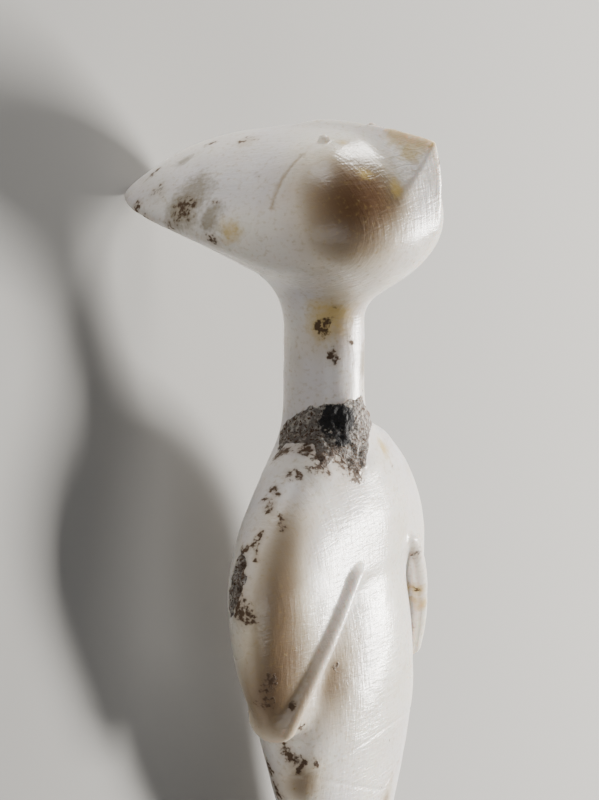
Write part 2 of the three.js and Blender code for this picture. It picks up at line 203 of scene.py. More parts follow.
def leaf(x, y, z):
    """Shoulders and arms as one leaf-shaped body, before the forearms are cut free."""
    rise = np.maximum(z - TORSO["z"], 0) / TORSO["up"]
    drop = np.maximum(TORSO["z"] - z, 0) / TORSO["down"]
    t = np.minimum(rise, TORSO["tip"])
    shoulder = (1 - t ** TORSO["squareness"]) ** (1 / TORSO["squareness"]) / np.sqrt(1 - t * t)
    narrow = np.sqrt(np.maximum(1 - drop ** 2, TORSO["least_width"])) * shoulder
    thin = np.maximum(1 - TORSO["thinning"] * drop ** 2, TORSO["least_thickness"])
    centre = TORSO["y"] - TORSO["forward"] * TORSO["half_thickness"] * (1 - thin)
    return ellipsoid(x / narrow, (y - centre) / thin, rise * TORSO["up"],
                     TORSO["half_width"], TORSO["half_thickness"], TORSO["up"])


def beside_forearm(x, z):
    """How far out from the forearm's inner edge a point lies, seen from the front."""
    span = FOREARM["hand_z"] - FOREARM["elbow_z"]
    reach = FOREARM["elbow_x"] - FOREARM["hand_x"]
    t = np.maximum(z - FOREARM["elbow_z"], 0) / span
    edge = FOREARM["elbow_x"] - reach * t ** FOREARM["bend"]
    slope = -reach * FOREARM["bend"] * t ** (FOREARM["bend"] - 1) / span
    return (np.abs(x) - edge) / np.hypot(1, slope)


def arms(x, y, z):
    """The leaf, cut off under the elbows and along each forearm, which carries a ridge."""
    body = leaf(x, y, z)
    beside = beside_forearm(x, z)
    cut_front = common(-beside, FOREARM["end"] - z, FOREARM["elbow"])
    cut_back = FOREARM["end"] + FOREARM["back_slope"] * (FOREARM["elbow_x"] - np.abs(x)) - z
    front = smooth_step(-y, *FOREARM["front"])
    cut = cut_front * front + cut_back * (1 - front)
    radius = RIDGE["radius"]
    past_hand = np.maximum(z - FOREARM["hand_z"] + RIDGE["hand_end"], 0)
    past_elbow = np.maximum(FOREARM["elbow_z"] + RIDGE["elbow_end"] - z, 0)
    above = body + radius - RIDGE["height"]
    ridge = np.sqrt((beside - radius) ** 2 + above ** 2 + (past_hand + past_elbow) ** 2) - radius
    ridge = ridge + RIDGE["stop"] * np.maximum(y - RIDGE["back"], 0)
    depth = FOREARM["recess"] * smooth_step(FOREARM["hand_z"] - z, FOREARM["recess_start"], FOREARM["fade"])
    sunk = common(body + depth, FOREARM["end"] - z, FOREARM["elbow"])
    return join(np.minimum(common(body, cut, FOREARM["edge"]), sunk), ridge, RIDGE["blend"])


def trunk(x, y, z):
    """Belly, hips and closed legs, with a groove between the legs in front and behind."""
    wide, thick, centre = trunk_at(z)
    across = (y - centre) / thick
    body = ellipsoid(x, y - centre, 0, wide, thick, wide)
    fade = smooth_step(LEG_GROOVE["top"] - z, 0, LEG_GROOVE["fade"])
    dip = np.exp(-(x / LEG_GROOVE["half_width"]) ** 2) * np.minimum(across ** 2, 1)
    return common(body + LEG_GROOVE["depth"] * fade * dip, np.maximum(z - TRUNK_TOP, -z), TRUNK_EDGE)


def figure(p):
    """The whole carving's field: under zero inside the stone, over zero outside it."""
    x, y, z = p.T
    rise = smooth_step(z, SIDE_FILLET["low"], SIDE_FILLET["high"])
    side_blend = SIDE_FILLET["small"] + (SIDE_FILLET["large"] - SIDE_FILLET["small"]) * rise
    body = join(join(arms(x, y, z), trunk(x, y, z), side_blend), neck(x, y, z), NECK["shoulder_blend"])
    nape = smooth_step(y, *NAPE)
    head_blend = NECK["head_blend"] + (NECK["nape_blend"] - NECK["head_blend"]) * nape
    return join(body, head(x, y, z), head_blend)


def slope_at(p, h=0.01):
    return np.stack([(figure(p + h * axis) - figure(p - h * axis)) / (2 * h) for axis in np.eye(3)], 1)


def settle(p, steps=3):
    """Moves points onto the surface by Newton steps down the field."""
    for _ in range(steps):
        slope = slope_at(p)
        size = np.maximum((slope ** 2).sum(1), LEAST_SLOPE)
        p = p - slope * (np.clip(figure(p), -LONGEST_STEP, LONGEST_STEP) / size)[:, None]
    return p


# ---- reading the surface off ----
def part_pinches(value):
    """Fills one corner of each grid square whose corners are in and out by turns, where a net would pinch."""
    units = np.eye(3, dtype=int)
    for _ in range(PINCH_ROUNDS):
        for axis in range(3):
            u, v = units[(axis + 1) % 3], units[(axis + 2) % 3]
            size = np.array(value.shape) - u - v
            corner = [value[tuple(slice(d, d + n) for d, n in zip(shift, size))] < 0
                      for shift in (0 * u, u, v, u + v)]
            turns = (corner[0] == corner[3]) & (corner[1] == corner[2]) & (corner[0] != corner[1])
            squares = np.argwhere(turns)
            filled = squares + np.where(corner[0][turns], 1, 0)[:, None] * u
            value[tuple(filled.T)] = -FILL_DEPTH
    return value


def surface_net():
    """One corner in every grid cell that the surface passes through, a quad across every edge it cuts."""
    low = np.array([room[0] for room in NET_ROOM], float)
    axes = [np.arange(a, b, NET_STEP) for a, b in NET_ROOM]
    value = np.empty([len(a) for a in axes])
    for i, x in enumerate(axes[0]):
        slab = np.stack(np.meshgrid(x, axes[1], axes[2], indexing="ij"), -1)
        value[i] = figure(slab.reshape(-1, 3)).reshape(value.shape[1:])
    value = part_pinches(value)
    inside = value < 0
    cubes = tuple(n - 1 for n in value.shape)
    count = np.zeros(cubes, int)
    for a, b, c in np.ndindex(2, 2, 2):
        count += inside[a:a + cubes[0], b:b + cubes[1], c:c + cubes[2]]
    cells = np.argwhere((count > 0) & (count < 8))
    number = np.full(cubes, -1)
    number[tuple(cells.T)] = np.arange(len(cells))
    # each cell's corner is the mean of the cuts through its edges
    total = np.zeros((len(cells), 3))
    cuts = np.zeros(len(cells))
    units = np.eye(3, dtype=int)
    for axis in range(3):
        for a, b in np.ndindex(2, 2):
            start = a * units[(axis + 1) % 3] + b * units[(axis + 2) % 3]
            near = value[tuple((cells + start).T)]
            far = value[tuple((cells + start + units[axis]).T)]
            cut = (near < 0) != (far < 0)
            t = near[cut] / (near[cut] - far[cut])
            total[cut] += start + t[:, None] * units[axis]
            cuts[cut] += 1
    points = low + NET_STEP * (cells + total / cuts[:, None])
    faces = []
    for axis in range(3):
        u, v = units[(axis + 1) % 3], units[(axis + 2) % 3]
        here = inside[:-1, :-1, :-1]
        there = inside[tuple(slice(d, d + n) for d, n in zip(units[axis], cubes))]
        edges = np.argwhere(here != there)
        quad = np.stack([number[tuple((edges + s).T)] for s in (-u - v, -v, 0 * u, -u)], 1)
        outward = here[tuple(edges.T)]
        quad[~outward] = quad[~outward][:, ::-1]
        # each quad is split along its shorter diagonal
        ac = np.linalg.norm(points[quad[:, 0]] - points[quad[:, 2]], axis=1)
        bd = np.linalg.norm(points[quad[:, 1]] - points[quad[:, 3]], axis=1)
        quad[bd < ac] = np.roll(quad[bd < ac], 1, axis=1)
        faces += [quad[:, [0, 1, 2]], quad[:, [0, 2, 3]]]
    return points, np.concatenate(faces)


def edges_of(faces):
    """Each pair of neighbouring corners once, and the number of that pair for each face's three sides."""
    sides = np.sort(faces[:, [[0, 1], [1, 2], [2, 0]]].reshape(-1, 2), axis=1)
    # the two corners' numbers packed into one key
    key, index = np.unique(sides[:, 0] * (1 << 32) + sides[:, 1], return_inverse=True)
    return np.stack([key >> 32, key & 0xFFFFFFFF], 1), index.reshape(-1, 3)


def relax(points, faces, rounds):
    """Evens the corners out, and puts them back onto the surface."""
    pairs, _ = edges_of(faces)
    for _ in range(rounds):
        total = np.zeros_like(points)
        near = np.zeros(len(points))
        for a, b in (pairs.T, pairs.T[::-1]):
            np.add.at(total, a, points[b])
            np.add.at(near, a, 1)
        points = settle((points + total / near[:, None]) / 2, 1)
    return points


def refine(points, faces, longest):
    """Splits every edge longer than it should be there, and each face by how many of its edges are split."""
    pairs, index = edges_of(faces)
    ends = points[pairs]
    middle = ends.mean(1)
    split = np.linalg.norm(ends[:, 0] - ends[:, 1], axis=1) > longest(middle)
    new = np.where(split, len(points) + np.cumsum(split) - 1, -1)
    points = np.concatenate([points, middle[split]])
    mids = new[index]
    done = [faces[(mids < 0).all(1)]]
    for turn in range(3):
        a, b, c = np.roll(faces, -turn, axis=1).T
        ab, bc, ca = np.roll(mids, -turn, axis=1).T
        one = (ab >= 0) & (bc < 0) & (ca < 0)
        two = (ab >= 0) & (bc >= 0) & (ca < 0)
        done += [np.stack(t, 1)[one] for t in ((a, ab, c), (ab, b, c))]
        done += [np.stack(t, 1)[two] for t in ((ab, b, bc), (a, ab, bc), (a, bc, c))]
        if turn == 0:
            all_three = (ab >= 0) & (bc >= 0) & (ca >= 0)
            done += [np.stack(t, 1)[all_three] for t in ((a, ab, ca), (ab, b, bc), (ca, bc, c), (ab, bc, ca))]
    return points, np.concatenate(done)


# ---- seeded noise ----
def noise_from(seed, size=24, octave_shift=7.3):
    """A function of places and a scale: smooth noise between about -1 and 1 on a lattice that repeats."""
    lattice = np.random.default_rng(seed).uniform(-1, 1, (size, size, size))

    def noise(p, scale, octaves=1):
        total = 0
        for octave in range(octaves):
            q = p / scale * 2 ** octave + octave_shift * octave
            cell = np.floor(q).astype(int)
            t = q - cell
            t = t * t * (3 - 2 * t)
            for corner in np.ndindex(2, 2, 2):
                weight = np.prod(np.where(np.array(corner) == 1, t, 1 - t), axis=1)
                total = total + weight * lattice[tuple(((cell + corner) % size).T)] / 2 ** octave
        return total
    return noise


noise = noise_from(SEED)


def wander(p, far, scale, shifts):
    """The points moved about by noise, a shifted copy of it for each direction."""
    return p + far * np.stack([noise(p + shift, scale, 2) for shift in shifts], 1)


# ---- where things are on the carving ----
def to_path(p, path):
    """Distance to a path of straight pieces on the surface."""
    nearest = np.full(len(p), np.inf)
    path = settle(np.array(path, float), PLACE_STEPS)
    for a, b in zip(path[:-1], path[1:]):
        t = np.clip((p - a) @ (b - a) / ((b - a) @ (b - a)), 0, 1)
        nearest = np.minimum(nearest, np.linalg.norm(p - a - t[:, None] * (b - a), axis=1))
    return nearest


def mirrored(p):
    """The points on the figure's left side, whichever side they are on."""
    return np.abs(p * (1, 0, 0)) + p * (0, 1, 1)


def waist_distance(p):
    return p[:, 2] - WAIST["z"] + WAIST["drop"] * (p[:, 0] / WAIST["reach"]) ** 2


def groin_distance(p):
    return (p[:, 2] - GROIN["z"] - GROIN["slope"] * np.abs(p[:, 0])) / math.hypot(1, GROIN["slope"])


def in_front(p):
    return smooth_step(-p[:, 1], *FRONT)


def eye_distance(p):
    centres = settle(np.array(EYES), PLACE_STEPS)
    return np.min([np.linalg.norm(p - centre, axis=1) for centre in centres], axis=0)


def crust_amount(p):
    """1 in the crust round the foot of the neck, 0 away from it, with a ragged edge."""
    x, y, z = p.T
    round_neck = np.degrees(np.arctan2(x, -y))
    low = np.interp(round_neck, *zip(*CRUST_LOW))
    high = np.interp(round_neck, *zip(*CRUST_HIGH))
    ragged = CRUST["ragged"] * noise(p, CRUST["ragged_size"], 3)
    return smooth_step(z - low - ragged, *CRUST["edge"]) * smooth_step(high - z + ragged, *CRUST["edge"])


def chip_amount(p):
    """1 in the chipped arm edge, 0 away from it."""
    apart = np.linalg.norm((p - CHIP["centre"]) / CHIP["reach"], axis=1)
    return smooth_step(-apart - CHIP["ragged"] * noise(p, CHIP["ragged_size"], 3), *CHIP["edge"])


def longest_edge(p):
    """Fine where there are lines, edges or rough places, coarse on the plain surfaces."""
    x, y, z = p.T
    side = np.abs(x)
    front = y < FINE_NEAR["front"]
    waist = np.abs(waist_distance(p))
    fine = front & (np.minimum(waist, np.abs(groin_distance(p))) < FINE_NEAR["line"])
    fine |= front & (side < FINE_NEAR["leg_line"]) & (z < GROIN["z"])
    fine |= to_path(mirrored(p), EAR) < FINE_NEAR["ear"]
    fine |= chip_amount(p) > 0
    fine |= crust_amount(p) > 0
    above_elbow = z > FOREARM["end"] - FINE_NEAR["arm_ends"]
    below_hand = z < FOREARM["hand_z"] + FINE_NEAR["arm_ends"]
    beside = beside_forearm(x, z)
    inner, outer = FINE_NEAR["ridge"]
    fine |= front & above_elbow & below_hand & (beside > inner) & (beside < outer)
    above_foot = z > NOSE["foot"] - FINE_NEAR["nose_foot"]
    fine |= above_foot & (y < FINE_NEAR["nose_front"]) & (side < FINE_NEAR["nose_half_width"])
    finest = (eye_distance(p) < FINEST_NEAR["eye"]) | (front & (waist < FINEST_NEAR["waist"]))
    return np.where(finest, FINEST_EDGE, np.where(fine, FINE_EDGE, PLAIN_EDGE))


def groove(away, half_width):
    """The depth of a cut of depth 1 with soft edges, at a distance from its middle."""
    return np.exp(-(away / half_width) ** 2)


def relief(p):
    """How far the surface stands out from the field, mm."""
    height = sum(far * noise(p, size, 2) for far, size in UNEVEN)
    drift = noise(p, LINE["drift_size"])
    cuts = groove(waist_distance(p) + LINE["waist_drift"] * drift, LINE["half_width"])
    cuts += groove(groin_distance(p) + LINE["groin_drift"] * drift, LINE["half_width"])
    below_groin = smooth_step(GROIN["z"] - p[:, 2], 0, LEG_LINE_FADE)
    cuts += groove(p[:, 0], LINE["half_width"]) * below_groin
    height -= LINE["depth"] * in_front(p) * cuts
    away = eye_distance(p)
    height += EYE["height"] * np.sqrt(np.maximum(1 - (away / EYE["radius"]) ** 2, 0))
    height -= EYE["ring_depth"] * groove(away - EYE["radius"] - EYE["ring_gap"], EYE["ring_width"])
    height -= EAR_LINE["depth"] * groove(to_path(mirrored(p), EAR), EAR_LINE["half_width"])
    height += chip_amount(p) * (CHIP["rough"] * noise(p, CHIP["rough_size"], 3) - CHIP["depth"])
    height += crust_amount(p) * CRUST["lump"] * (CRUST["thickness"] + noise(p, CRUST["lump_size"], 3))
    return height


# ---- stains and dirt: for each kind, places and how far they reach ----
STAINS = {
    "soil": [
        # from the shoulder down the arm
        ((-18.1, -2.6, 121.5), 1.5), ((-15.8, -4.8, 121.8), 1.2), ((-18.1, -3.9, 121.0), 1.2),
        ((-21.4, 0.4, 119.3), 1.4), ((-22.6, -0.7, 118.7), 1.3), ((-23.7, 0.9, 117.4), 1.1),
        ((-24.8, -0.9, 116.9), 1.3), ((-25.6, -3.0, 115.7), 1.2), ((-26.5, -3.8, 114.3), 1.1),
        ((-33.0, 2.4, 108.5), 1.6), ((-33.4, 2.2, 104.0), 1.8), ((-34.3, 0.4, 101.2), 2.6),
        ((-34.4, -1.2, 100.2), 2.4), ((-32.3, -4.3, 88.6), 1.9), ((-32.2, -3.3, 85.1), 1.9),
        ((-32.8, -3.0, 86.9), 1.2), ((-28.9, -6.7, 83.1), 1.3),
        # elbow, belly and hip
        ((-23.4, -6.1, 77.7), 1.2), ((-23.8, -3.1, 73.6), 1.7), ((-23.4, -4.4, 72.4), 1.6),
        ((-22.7, -5.4, 70.7), 1.5), ((-16.3, -9.8, 86.8), 1.3), ((-11.0, -11.8, 91.1), 1.0),
        ((-13.5, -11.4, 84.6), 1.2), ((-21.7, 0.6, 69.2), 1.8), ((-21.2, 0.0, 66.6), 1.6),
        ((-21.1, -0.9, 64.3), 1.8), ((-20.5, -7.7, 70.4), 1.0),
        # in the crust and along its lower edge
        ((-13.7, -5.5, 122.2), 2.2), ((-8.1, -9.0, 120.4), 2.6), ((-6.6, -9.8, 119.5), 2.2),
        ((-12.4, 1.1, 123.6), 2.3), ((-12.5, 2.8, 122.7), 2.4), ((-12.3, -2.0, 123.9), 1.9),
        ((-12.6, -4.0, 123.0), 1.6), ((-9.4, -6.7, 122.4), 2.2),
        # the figure's left shoulder and hand
        ((6.6, -10.3, 117.9), 0.9), ((19.6, -9.5, 91.8), 0.9),
        # neck
        ((-6.2, -4.7, 148.7), 1.1), ((-6.4, -2.9, 145.7), 1.8), ((-6.2, -3.2, 144.0), 1.2),
        ((-2.8, -6.4, 142.2), 0.9), ((-5.1, -4.8, 139.8), 1.2), ((-4.7, -5.2, 138.5), 0.8),
        # head
        ((-19.5, 17.5, 166.3), 2.6), ((-21.8, 10.9, 161.3), 1.4), ((-20.4, 11.2, 167.3), 0.9),
        ((-16.6, 4.9, 172.6), 0.7), ((-5.0, 18.8, 175.5), 1.3), ((-7.7, 29.1, 170.1), 1.3),
        ((-14.7, 29.4, 164.0), 1.6), ((-16.4, 26.2, 163.3), 1.4), ((-17.3, 23.5, 162.6), 1.5),
        ((-19.1, 20.0, 162.1), 1.4), ((-1.6, -20.7, 168.6), 0.9), ((0.1, -21.4, 173.9), 0.8),
    ],
    "grey": [
        ((-19.2, 17.6, 166.6), 4.2), ((-19.1, 19.2, 166.0), 3.0), ((-17.5, 16.1, 169.2), 4.0),
        ((-21.5, 11.4, 165.6), 2.6), ((-9.4, 22.2, 172.7), 1.8),
        ((0.8, -7.0, 137.9), 3.0),
    ],
    "ochre": [
        ((5.8, -8.9, 121.4), 2.6), ((19.6, -9.5, 91.8), 1.8), ((21.8, -9.0, 88.6), 1.8),
        ((-22.6, 7.2, 163.7), 2.2), ((-7.7, -7.0, 177.8), 1.4), ((-11.5, -12.6, 173.2), 1.6),
        ((-7.9, -16.8, 170.7), 1.7), ((-0.8, -15.5, 177.8), 2.6), ((-1.1, -17.4, 177.1), 2.8),
        ((-2.2, -16.8, 175.9), 2.2), ((-0.5, -19.0, 177.5), 2.4), ((-0.6, -14.1, 178.4), 2.2),
        ((-6.0, -3.8, 146.4), 4.0),
    ],
}
STAIN_CORE = 1.35                                # above 1, a stain is solid in its middle
STAIN_WANDER = dict(far=0.9, scale=2.6, shifts=(0, 40, 80))
CRACK = [(-28.4, -1.1, 113.3), (-29.6, -0.7, 111.8), (-29.9, 0.5, 111.0), (-29.4, 2.4, 109.8)]
CRACK_BRANCH = [(-29.9, -0.6, 111.5), (-31.3, -1.5, 109.4)]
CRACK_SOIL = dict(ragged=0.25, ragged_size=1.0, edge=(-0.9, -0.35))
EAR_DIRT = dict(ragged=0.15, ragged_size=1.2, edge=(-0.55, -0.1), fade=(-30, -5))
CHARRED = dict(centre=(-5.4, -5.4, 127.7), reach=(3.4, 3.6, 4.4), ragged=0.3, ragged_size=1.6,
               edge=(-1.25, -0.6))
# the thick parts, where the stone has yellowed, and painted shade: these places also darken the colour where
# shade falls, in the middle of the near cheek, down the near arm, in the recess beside its forearm ridge and
# low on the belly; place, reach, strength
YELLOWED_AND_SHADED_PLACES = [
    ((-14.2, -12.9, 169.9), 10.5, 0.85), ((-15.5, -12.0, 169.4), 12.5, 0.65),
    ((-17.5, -10.0, 168.5), 16.0, 0.4), ((-14.0, -13.5, 162.0), 12.0, 0.3), ((-8.0, -8.0, 152.0), 8.0, 0.35),
    ((-25.3, -4.9, 114.3), 6.5, 0.5), ((-28.6, -5.2, 109.9), 7.0, 0.6), ((-30.8, -5.7, 104.4), 8.0, 0.66),
    ((-31.4, -5.8, 99.0), 8.5, 0.7), ((-31.6, -5.2, 92.0), 9.0, 0.7), ((-32.3, -4.0, 86.0), 9.0, 0.65),
    ((-30.2, -4.4, 81.2), 8.0, 0.7), ((-26.0, -8.9, 91.6), 10.0, 0.45), ((-18.1, -9.2, 81.8), 9.0, 0.55),
    ((-22.1, -5.3, 67.1), 6.0, 0.75), ((2.4, -11.0, 57.0), 5.0, 0.78), ((-5.7, -4.2, 145.0), 7.0, 0.6),
    ((20.0, 4.0, 168.0), 11.0, 0.6), ((0.0, 12.0, 100.0), 16.0, 0.3),
    ((31.0, -1.0, 92.0), 9.0, 0.5), ((-16.5, -9.6, 86.5), 6.0, 0.6), ((-13.8, -11.0, 91.5), 4.5, 0.45),
]
YELLOWED_AND_SHADED_EDGE = (-1.25, -0.1)
YELLOWED_AND_SHADED_WANDER = dict(far=0.9, scale=9.0, shifts=(20, 60, 100))
# a few small spots of soil on the sides that the lists leave bare: past x to the left, or past y to the back
PLAIN_SIDE = dict(tries=56, x=4, y=6, reach=(1.2, 3.0))


def stain_amounts(p):
    """The strength of each kind of stain at each point, from 0 to 1."""
    amount = {kind: np.zeros(len(p)) for kind in STAINS}
    warped = wander(p, **STAIN_WANDER)
    for kind, marks in STAINS.items():
        places = settle(np.array([place for place, _ in marks], float), PLACE_STEPS)
        for place, (_, reach) in zip(places, marks):
            near = np.clip(STAIN_CORE - np.linalg.norm(warped - place, axis=1) / reach, 0, 1)
            amount[kind] = np.maximum(amount[kind], near)
    # the yellowed stone together with painted shade, stronger where places overlap
    adrift = wander(p, **YELLOWED_AND_SHADED_WANDER)
    clear = np.ones(len(p))
    for place, reach, strength in YELLOWED_AND_SHADED_PLACES:
        near = smooth_step(-np.linalg.norm(adrift - place, axis=1) / reach, *YELLOWED_AND_SHADED_EDGE)
        clear *= 1 - strength * near
    amount["yellowed_and_shaded"] = 1 - clear
    rng = np.random.default_rng(SEED)
    for spot in p[rng.integers(0, len(p), PLAIN_SIDE["tries"])]:
        if spot[0] > PLAIN_SIDE["x"] or spot[1] > PLAIN_SIDE["y"]:
            reach = rng.uniform(*PLAIN_SIDE["reach"])
            near = np.clip(1 - np.linalg.norm(warped - spot, axis=1) / reach, 0, 1)
            amount["soil"] = np.maximum(amount["soil"], near)
    crack = np.minimum(to_path(p, CRACK), to_path(p, CRACK_BRANCH))
    crack += CRACK_SOIL["ragged"] * noise(p, CRACK_SOIL["ragged_size"], 2)
    amount["soil"] = np.maximum(amount["soil"], smooth_step(-crack, *CRACK_SOIL["edge"]))
    ear = to_path(mirrored(p), EAR) + EAR_DIRT["ragged"] * noise(p, EAR_DIRT["ragged_size"])
    amount["line"] = smooth_step(-ear, *EAR_DIRT["edge"]) * smooth_step(-p[:, 0], *EAR_DIRT["fade"])
    amount["crust"] = np.maximum(crust_amount(p), chip_amount(p))
    apart = np.linalg.norm((p - CHARRED["centre"]) / CHARRED["reach"], axis=1)
    apart += CHARRED["ragged"] * noise(p, CHARRED["ragged_size"], 3)
    amount["char"] = smooth_step(-apart, *CHARRED["edge"]) * amount["crust"]
    return amount


def lay_down(p):
    """From the upright figure, mm, to the row's frame, metres."""
    x, y, z = p.T
    lying = np.stack([
        x,
        z * math.cos(LEAN) + y * math.sin(LEAN),
        z * math.sin(LEAN) - y * math.cos(LEAN),
    ], 1)
    return (lying + SOLES) * MM


def build_figurine():
    """The carved stone as one mesh, with the strength of each kind of stain as an attribute."""
    points, faces = surface_net()
    points = relax(settle(points), faces, RELAX_ROUNDS)
    for _ in range(FINE_ROUNDS):
        points, faces = refine(points, faces, longest_edge)
        points = settle(points, 2)
    slope = slope_at(points)
    normal = slope / np.maximum(np.linalg.norm(slope, axis=1), 1e-6)[:, None]
    stains = stain_amounts(points)
    placed = lay_down(points + normal * relief(points)[:, None])
    # the solid's box flattens the heels and the edge of the crown, where they lie on the floor
    low, high = (np.array(corner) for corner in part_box("figurine"))
    placed = np.clip(placed, low, high)
    mesh = bpy.data.meshes.new("marble_figurine")
    mesh.from_pydata(placed.tolist(), [], faces.tolist())
    mesh.shade_smooth()
    for kind, values in stains.items():
        mesh.attributes.new(kind, "FLOAT", "POINT").data.foreach_set("value", values.astype(np.float32))
    mesh.validate()
    body = bpy.data.objects.new("marble_figurine", mesh)
    bpy.context.scene.collection.objects.link(body)
    return body


# ---- materials ----
class Shader:
    """A short way to write a material's nodes."""

    def __init__(self, name):
        self.material = bpy.data.materials.new(name)
        self.material.use_nodes = True
        self.nodes = self.material.node_tree.nodes
        self.links = self.material.node_tree.links
        self.surface = self.nodes["Principled BSDF"]
        self.place = self.node("ShaderNodeTexCoord").outputs["Object"]

    def node(self, kind, inputs=None, **settings):
        made = self.nodes.new(kind)
        for key, value in settings.items():
            setattr(made, key, value)
        for key, value in (inputs or {}).items():
            self.feed(made.inputs[key], value)
        return made

    def feed(self, socket, value):
        if isinstance(value, bpy.types.NodeSocket):
            self.links.new(value, socket)
        else:
            socket.default_value = value

    def math(self, operation, a, b=0.0, clamp=False):
        return self.node("ShaderNodeMath", {0: a, 1: b}, operation=operation, use_clamp=clamp).outputs[0]

    def plus(self, a, b):
        return self.math("ADD", a, b)

    def times(self, a, b):
        return self.math("MULTIPLY", a, b)

    def uneven(self, value, noise, amount):
        """A value that noise moves up and down."""
        return self.plus(value, self.times(self.math("SUBTRACT", noise, 0.5), amount))

    def mix(self, amount, a, b):
        """From colour a to colour b: a Mix node's colour sockets are inputs 6 and 7 and output 2."""
        made = self.node("ShaderNodeMix", data_type="RGBA")
        for index, value in ((0, amount), (6, a), (7, b)):
            self.feed(made.inputs[index], value)
        return made.outputs[2]

    def noise(self, size, detail=4.0, stretch=None, turn=(0, 0, 0), bend=0.0):
        """Noise with features about size millimetres across, drawn out by stretch after a turn."""
        place = self.place
        if stretch:
            mapping = {"Vector": place, "Rotation": turn, "Scale": stretch}
            place = self.node("ShaderNodeMapping", mapping).outputs[0]
        made = self.node("ShaderNodeTexNoise", {"Vector": place, "Scale": 1 / (size * MM), "Detail": detail,
                                                "Distortion": bend})
        return made.outputs["Fac"]

    def band(self, value, low, high, to_low=0.0, to_high=1.0):
        """to_low where the value is under low, to_high where it is over high, and a straight ramp between."""
        made = self.node("ShaderNodeMapRange", {"Value": value, "From Min": low, "From Max": high,
                                                "To Min": to_low, "To Max": to_high})
        return made.outputs[0]

    def painted(self, name):
        """The strength of a kind of stain, from the mesh."""
        return self.node("ShaderNodeAttribute", attribute_name=name).outputs["Fac"]


CREAM = (0.85, 0.81, 0.73, 1)
LAVENDER = (0.73, 0.695, 0.70, 1)
# a yellow brown for the veins and the yellowed places, where it also stands in for shade, and a dark brown
# for the deepest painted shade, with a stain in it
YELLOW_BROWN_AND_SHADE = (0.50, 0.365, 0.165, 1)
DARK_STAIN_AND_SHADE = (0.075, 0.023, 0.006, 1)
SOIL = (0.07, 0.034, 0.013, 1)
SOIL_LIGHT = (0.34, 0.24, 0.13, 1)
OCHRE = (0.60, 0.43, 0.13, 1)
ASH = (0.17, 0.15, 0.135, 1)
SMOKE = (0.22, 0.175, 0.10, 1)
ASH_LIGHT = (0.44, 0.41, 0.37, 1)
SOOT = (0.012, 0.011, 0.012, 1)
# sizes of the stone's and the dirt's patterns, mm
PATTERN = dict(cloud=22, vein=9, grain=0.8, speck=0.45, pit=5.5, mark=4, cross_mark=3, worn=16)
# heights of what is too fine for the mesh, mm
FINE_HEIGHT = dict(mark=0.11, cross_mark=0.15, speck=0.02, crust=1.1, soil=0.1, pit=0.2)
# the values between which each pattern sets in
SETS_IN = dict(lavender=(0.38, 0.66), vein=(0.56, 0.72), clouded_yellowing_and_shade=(0.2, 0.8), dark_stain_and_shade=(0.5, 1.0),
               dull=(0.3, 0.7), worn=(0.35, 0.6), soil=(0.6, 1.0), crust=(0.4, 0.55),
               ash_light=(0.72, 0.9), soil_grain=(0.53, 0.6), char=(0.45, 0.75),
               pit=(0.05, 0.035), pit_place=(0.5, 0.58))
# how strongly it shows where it has set in, and the least that is left of it elsewhere
STRENGTH = dict(vein=0.2, dark_stain_and_shade=0.95, soil=0.95, line=0.7, pit=0.75, soil_in_crust=0.8, vein_in_crust=0.5)
LEAST = dict(clouded_yellowing_and_shade=0.75, marks=0.25)
# how far the grain breaks up its edge
BROKEN = dict(soil=2.6, crust=0.8, char=1.6)
BUMP_STRENGTH = 0.8
ROUGHNESS = dict(polished=0.24, dull=0.36, dirt_adds=0.45)
MARBLE_IOR = 1.5
SCATTER = dict(weight=0.45, radius=(1.0, 0.74, 0.54), depth=2.6)


def stone_colour(s, cloud, vein):
    """Cream and lavender clouds, a few yellow-brown veins, and yellowed thick parts, whose colour is darkened
    as painted shade.
    """
    colour = s.mix(s.band(cloud, *SETS_IN["lavender"]), CREAM, LAVENDER)
    colour = s.mix(s.band(vein, *SETS_IN["vein"], to_high=STRENGTH["vein"]), colour, YELLOW_BROWN_AND_SHADE)
    # the painted yellowing and shade, a little weaker in parts of the clouds
    clouded = s.band(cloud, *SETS_IN["clouded_yellowing_and_shade"], to_low=LEAST["clouded_yellowing_and_shade"])
    return s.mix(s.times(s.painted("yellowed_and_shaded"), clouded), colour, YELLOW_BROWN_AND_SHADE)


def cover(s, colour, kind, grain, paint, soft, broken, strength):
    """A thin coat of one kind of dirt, whose edge the grain breaks up into blotches and specks."""
    spread = s.uneven(s.painted(kind), grain, broken)
    return s.mix(s.times(s.band(spread, 0.5 - soft, 0.5 + soft), strength), colour, paint)


def crust_colour(s, vein, grain, speck):
    """Ash with lighter grains, soil in it, and a charred patch."""
    veined = s.plus(grain, s.times(vein, STRENGTH["vein_in_crust"]))
    colour = s.mix(s.band(veined, *SETS_IN["ash_light"]), ASH, ASH_LIGHT)
    colour = s.mix(s.band(speck, *SETS_IN["soil_grain"]), colour, SOIL)
    colour = s.mix(s.times(s.painted("soil"), STRENGTH["soil_in_crust"]), colour, SOIL)
    charred = s.band(s.uneven(s.painted("char"), speck, BROKEN["char"]), *SETS_IN["char"])
    return s.mix(charred, colour, SOOT)


